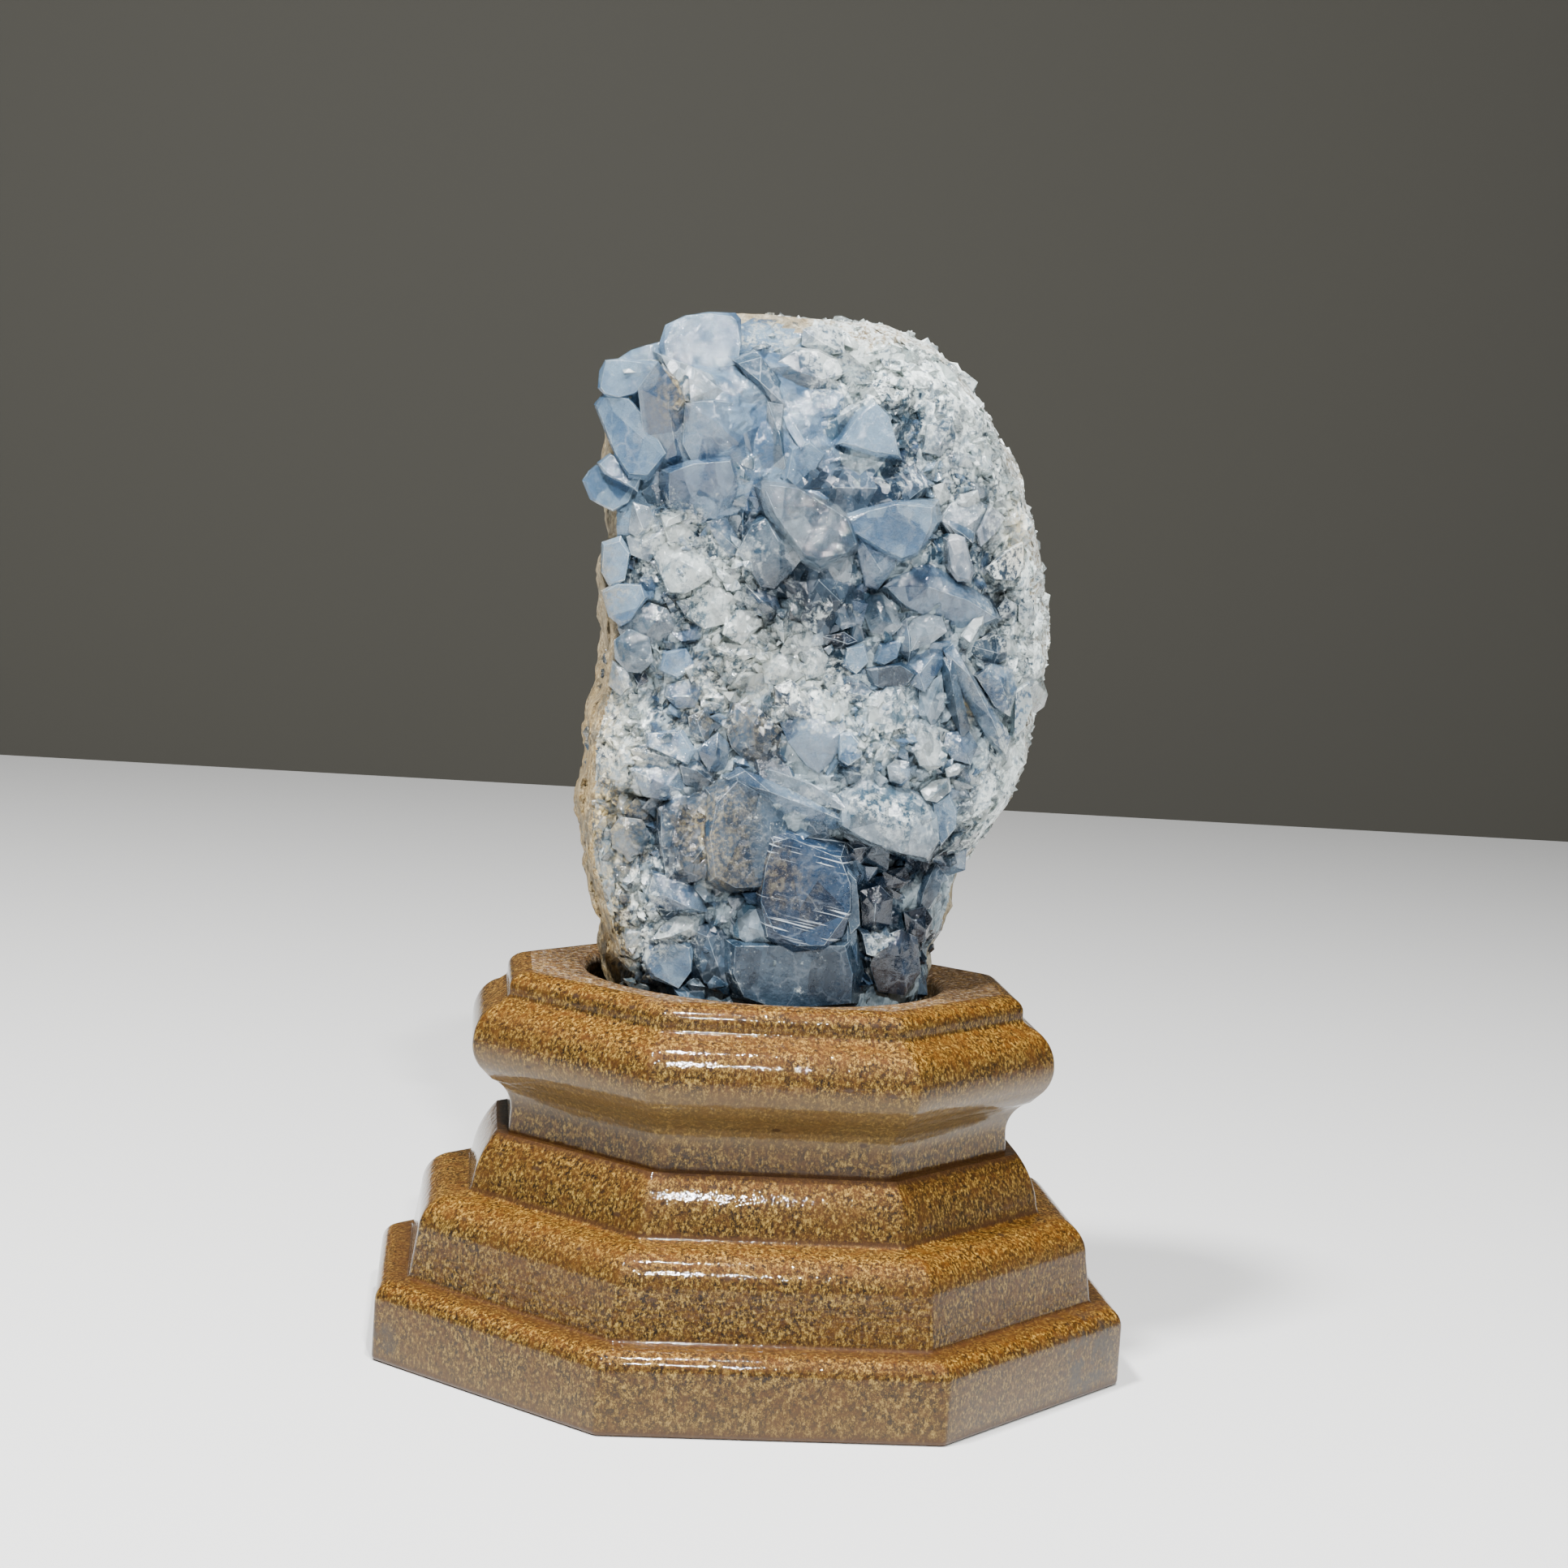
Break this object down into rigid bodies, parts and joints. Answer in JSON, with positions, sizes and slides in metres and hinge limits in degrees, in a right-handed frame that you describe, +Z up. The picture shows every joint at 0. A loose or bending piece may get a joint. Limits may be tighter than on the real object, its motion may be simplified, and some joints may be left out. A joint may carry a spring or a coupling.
{
  "type": "crystal cluster on stand",
  "caption": "Upright blue crystal cluster grown on a rough geode wall, standing in the round recess of an octagonal moulded wooden stand.",
  "frame": {"origin": "centre of the flat underside of the stand", "axes": "+Z up, -Y towards the crystal side, +X to the right seen from the crystal side"},
  "size_m": [0.084, 0.0742, 0.118],
  "materials": {
    "celestite": "pale blue translucent crystals with frosted edges on a rough off-white and tan crust",
    "lacquered_fibreboard": "golden-brown stained fibreboard under glossy lacquer, with fine dark speckles"
  },
  "bodies": {
    "root": {"celestite_cluster": "celestite", "wooden_stand": "lacquered_fibreboard"}
  },
  "joints": []
}
